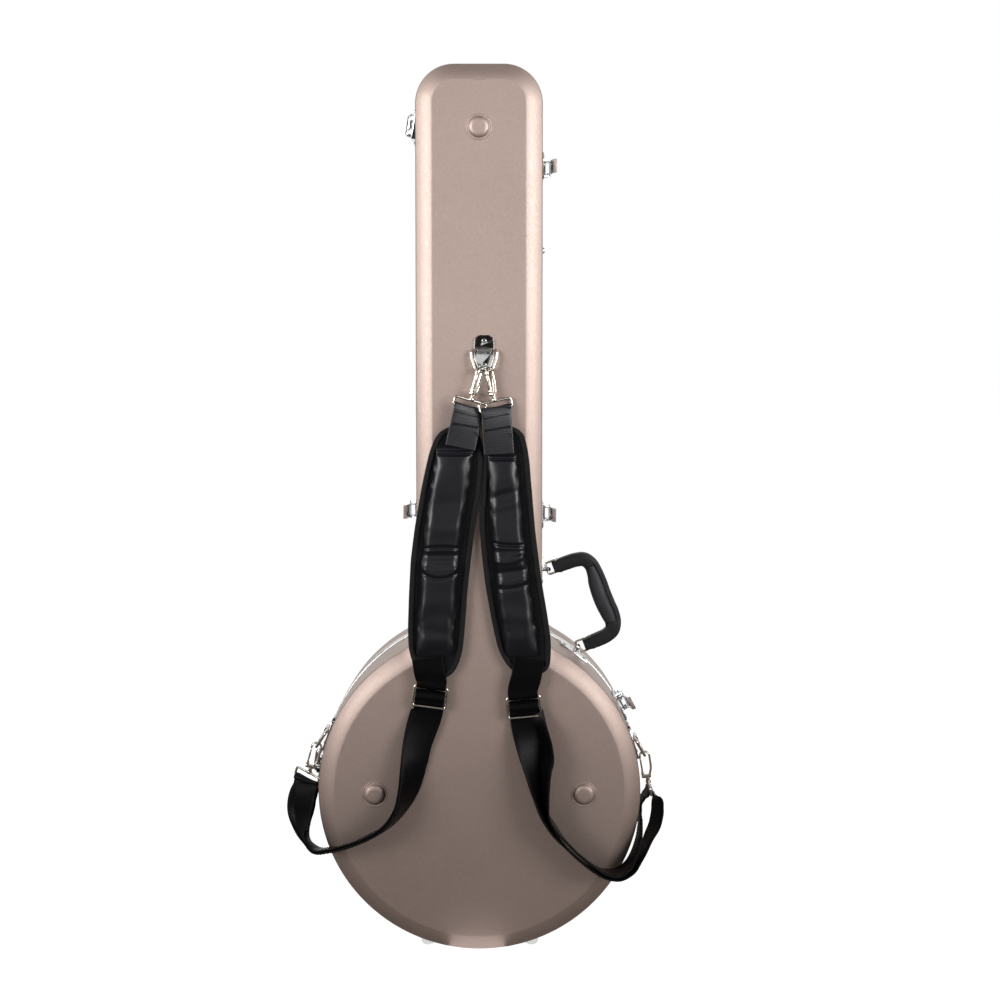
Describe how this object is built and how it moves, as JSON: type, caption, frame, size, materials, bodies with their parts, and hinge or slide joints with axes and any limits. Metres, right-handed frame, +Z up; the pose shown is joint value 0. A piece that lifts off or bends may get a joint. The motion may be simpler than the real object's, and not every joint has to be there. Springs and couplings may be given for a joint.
{
  "type": "banjo case",
  "caption": "Moulded hard case for a banjo that stands on its tail, with a hinged lid, draw latches, a carrying handle and clip-on padded shoulder straps.",
  "frame": {"origin": "centre of the footprint, on the floor plane under the tail feet", "axes": "+Z up along the neck, +Y towards the lid, -Y the back that is worn, +X the side with the handle"},
  "size_m": [0.457, 0.204, 1.0915],
  "materials": {
    "shell": "satin, metallic, fine orange-peel grain",
    "rim": "bright anodised",
    "plush": "short plush over foam",
    "covered_board": "board covered in plush",
    "pad_cloth": "satin nylon over foam, knit binding",
    "webbing": "ribbed woven",
    "grip_cover": "padded, matte",
    "nickel": "polished nickel",
    "chrome": "polished"
  },
  "bodies": {
    "case_back": {"back_shell": "shell", "back_valance": "rim", "back_lining_body": "plush", "back_lining_neck": "plush", "neck_cradle": "covered_board", "hinge_upper_back_leaf": "chrome", "hinge_lower_back_leaf": "chrome", "latch_neck_right_base": "chrome", "latch_waist_left_base": "chrome", "latch_waist_right_base": "chrome", "latch_shoulder_right_base": "chrome", "handle_bracket_upper": "chrome", "handle_bracket_lower": "chrome", "strap_fitting_neck_plate": "chrome", "strap_fitting_neck_ring": "nickel", "strap_fitting_right_plate": "chrome", "strap_fitting_right_ring": "nickel", "strap_fitting_left_plate": "chrome", "strap_fitting_left_ring": "nickel", "hook_top_left": "nickel", "hook_top_right": "nickel", "hook_side_left": "nickel", "hook_side_right": "nickel", "slider_left": "nickel", "slider_right": "nickel", "shoulder_pad_left": "pad_cloth", "shoulder_pad_right": "pad_cloth", "lower_strap_left": "webbing", "lower_strap_right": "webbing", "tail_foot_back_left": "chrome", "tail_foot_back_right": "chrome", "side_eyelet": "chrome"},
    "lid": {"lid_shell": "shell", "lid_valance": "rim", "lid_lining_body": "plush", "lid_lining_neck": "plush", "hinge_upper_lid_leaf": "chrome", "hinge_lower_lid_leaf": "chrome", "latch_neck_right_catch": "chrome", "latch_waist_left_catch": "chrome", "latch_waist_right_catch": "chrome", "latch_shoulder_right_catch": "chrome", "tail_foot_lid_left": "chrome", "tail_foot_lid_right": "chrome"},
    "handle": {"handle_grip": "grip_cover", "handle_ring_upper": "nickel", "handle_ring_lower": "nickel"},
    "compartment_lid": {"compartment_lid": "covered_board"},
    "latch_neck_right_lever": {"latch_neck_right_lever": "chrome"},
    "latch_neck_right_bail": {"latch_neck_right_bail": "chrome"},
    "latch_waist_left_lever": {"latch_waist_left_lever": "chrome"},
    "latch_waist_left_bail": {"latch_waist_left_bail": "chrome"},
    "latch_waist_right_lever": {"latch_waist_right_lever": "chrome"},
    "latch_waist_right_bail": {"latch_waist_right_bail": "chrome"},
    "latch_shoulder_right_lever": {"latch_shoulder_right_lever": "chrome"},
    "latch_shoulder_right_bail": {"latch_shoulder_right_bail": "chrome"},
    "hook_top_left_gate": {"hook_top_left_gate": "nickel"},
    "hook_top_right_gate": {"hook_top_right_gate": "nickel"},
    "hook_side_left_gate": {"hook_side_left_gate": "nickel"},
    "hook_side_right_gate": {"hook_side_right_gate": "nickel"}
  },
  "joints": [
    {"name": "lid_hinge", "type": "hinge", "parent": "case_back", "child": "lid", "pos_m": [-0.08485, 0.03403, 1.029], "axis": [0.1485, 0, 0.9889], "range_deg": [0, 105]},
    {"name": "handle_swing", "type": "hinge", "parent": "case_back", "child": "handle", "pos_m": [0.08815, 0.00903, 0.4675], "axis": [0.3576, 0, -0.9339], "range_deg": [-65, 65]},
    {"name": "compartment_lid_hinge", "type": "hinge", "parent": "case_back", "child": "compartment_lid", "pos_m": [0.00315, -0.00897, 0.6927], "axis": [-1, 0, 0], "range_deg": [0, 90]},
    {"name": "latch_neck_right_lever_pivot", "type": "hinge", "parent": "case_back", "child": "latch_neck_right_lever", "pos_m": [0.08865, 0.01903, 0.973], "axis": [0, 0, 1], "range_deg": [0, 95]},
    {"name": "latch_neck_right_bail_pivot", "type": "hinge", "parent": "latch_neck_right_lever", "child": "latch_neck_right_bail", "pos_m": [0.08445, 0.01253, 0.973], "axis": [0, 0, -1], "range_deg": [0, 95]},
    {"name": "latch_waist_left_lever_pivot", "type": "hinge", "parent": "case_back", "child": "latch_waist_left_lever", "pos_m": [-0.08235, 0.01903, 0.543], "axis": [0, 0, -1], "range_deg": [0, 95]},
    {"name": "latch_waist_left_bail_pivot", "type": "hinge", "parent": "latch_waist_left_lever", "child": "latch_waist_left_bail", "pos_m": [-0.07815, 0.01253, 0.543], "axis": [0, 0, 1], "range_deg": [0, 95]},
    {"name": "latch_waist_right_lever_pivot", "type": "hinge", "parent": "case_back", "child": "latch_waist_right_lever", "pos_m": [0.08865, 0.01903, 0.539], "axis": [0, 0, 1], "range_deg": [0, 95]},
    {"name": "latch_waist_right_bail_pivot", "type": "hinge", "parent": "latch_waist_right_lever", "child": "latch_waist_right_bail", "pos_m": [0.08445, 0.01253, 0.539], "axis": [0, 0, -1], "range_deg": [0, 95]},
    {"name": "latch_shoulder_right_lever_pivot", "type": "hinge", "parent": "case_back", "child": "latch_shoulder_right_lever", "pos_m": [0.18705, 0.01903, 0.29709], "axis": [-0.4631, 0, 0.8863], "range_deg": [0, 95]},
    {"name": "latch_shoulder_right_bail_pivot", "type": "hinge", "parent": "latch_shoulder_right_lever", "child": "latch_shoulder_right_bail", "pos_m": [0.18333, 0.01253, 0.29515], "axis": [0.4631, 0, -0.8863], "range_deg": [0, 95]},
    {"name": "hook_top_left_gate_spring", "type": "hinge", "parent": "case_back", "child": "hook_top_left_gate", "pos_m": [-0.00528, -0.07682, 0.69779], "axis": [-0.8336, 0.4976, 0.2397], "range_deg": [0, 25], "stiffness_Nm_per_rad": 0.02, "springref_deg": -17.19},
    {"name": "hook_top_right_gate_spring", "type": "hinge", "parent": "case_back", "child": "hook_top_right_gate", "pos_m": [0.01686, -0.07682, 0.69605], "axis": [-0.8501, 0.4976, -0.1723], "range_deg": [0, 25], "stiffness_Nm_per_rad": 0.02, "springref_deg": -17.19},
    {"name": "hook_side_left_gate_spring", "type": "hinge", "parent": "case_back", "child": "hook_side_left_gate", "pos_m": [-0.21255, -0.02597, 0.229], "axis": [0, 1, 0], "range_deg": [0, 25], "stiffness_Nm_per_rad": 0.02, "springref_deg": -17.19},
    {"name": "hook_side_right_gate_spring", "type": "hinge", "parent": "case_back", "child": "hook_side_right_gate", "pos_m": [0.20762, -0.02597, 0.21496], "axis": [0, 1, 0], "range_deg": [0, 25], "stiffness_Nm_per_rad": 0.02, "springref_deg": -17.19}
  ],
  "couplings": [
    {"joint": "latch_neck_right_bail_pivot", "follows": "latch_neck_right_lever_pivot", "ratio": 1},
    {"joint": "latch_waist_left_bail_pivot", "follows": "latch_waist_left_lever_pivot", "ratio": 1},
    {"joint": "latch_waist_right_bail_pivot", "follows": "latch_waist_right_lever_pivot", "ratio": 1},
    {"joint": "latch_shoulder_right_bail_pivot", "follows": "latch_shoulder_right_lever_pivot", "ratio": 1}
  ]
}
